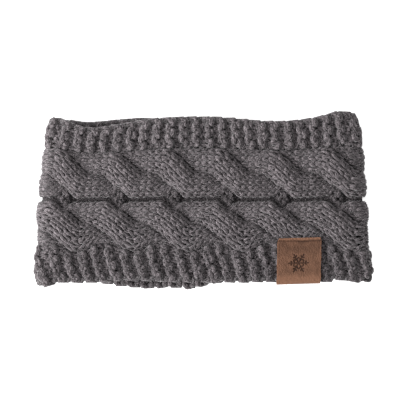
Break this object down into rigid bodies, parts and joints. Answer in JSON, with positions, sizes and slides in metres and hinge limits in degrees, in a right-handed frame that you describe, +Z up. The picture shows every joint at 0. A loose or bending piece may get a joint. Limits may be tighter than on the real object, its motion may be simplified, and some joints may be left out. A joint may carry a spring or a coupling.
{
  "type": "ear warmer headband",
  "caption": "Wide cable-knit headband that warms the ears, lying flat as a folded loop, with ridged borders, rope cables and a square leather label folded over its lower edge.",
  "frame": {"origin": "on the surface that the headband lies on, under the middle of its outline", "axes": "+X along the band from the left fold to the right one, +Y across the band from its lower edge to its upper one, +Z up through the two layers, out of the face that carries the label"},
  "size_m": [0.226, 0.1198, 0.0218],
  "materials": {
    "yarn": "matt grey-brown acrylic knit",
    "leather": "matt brown leather"
  },
  "bodies": {
    "root": {"knit_band": "yarn", "leather_label": "leather"}
  },
  "joints": []
}
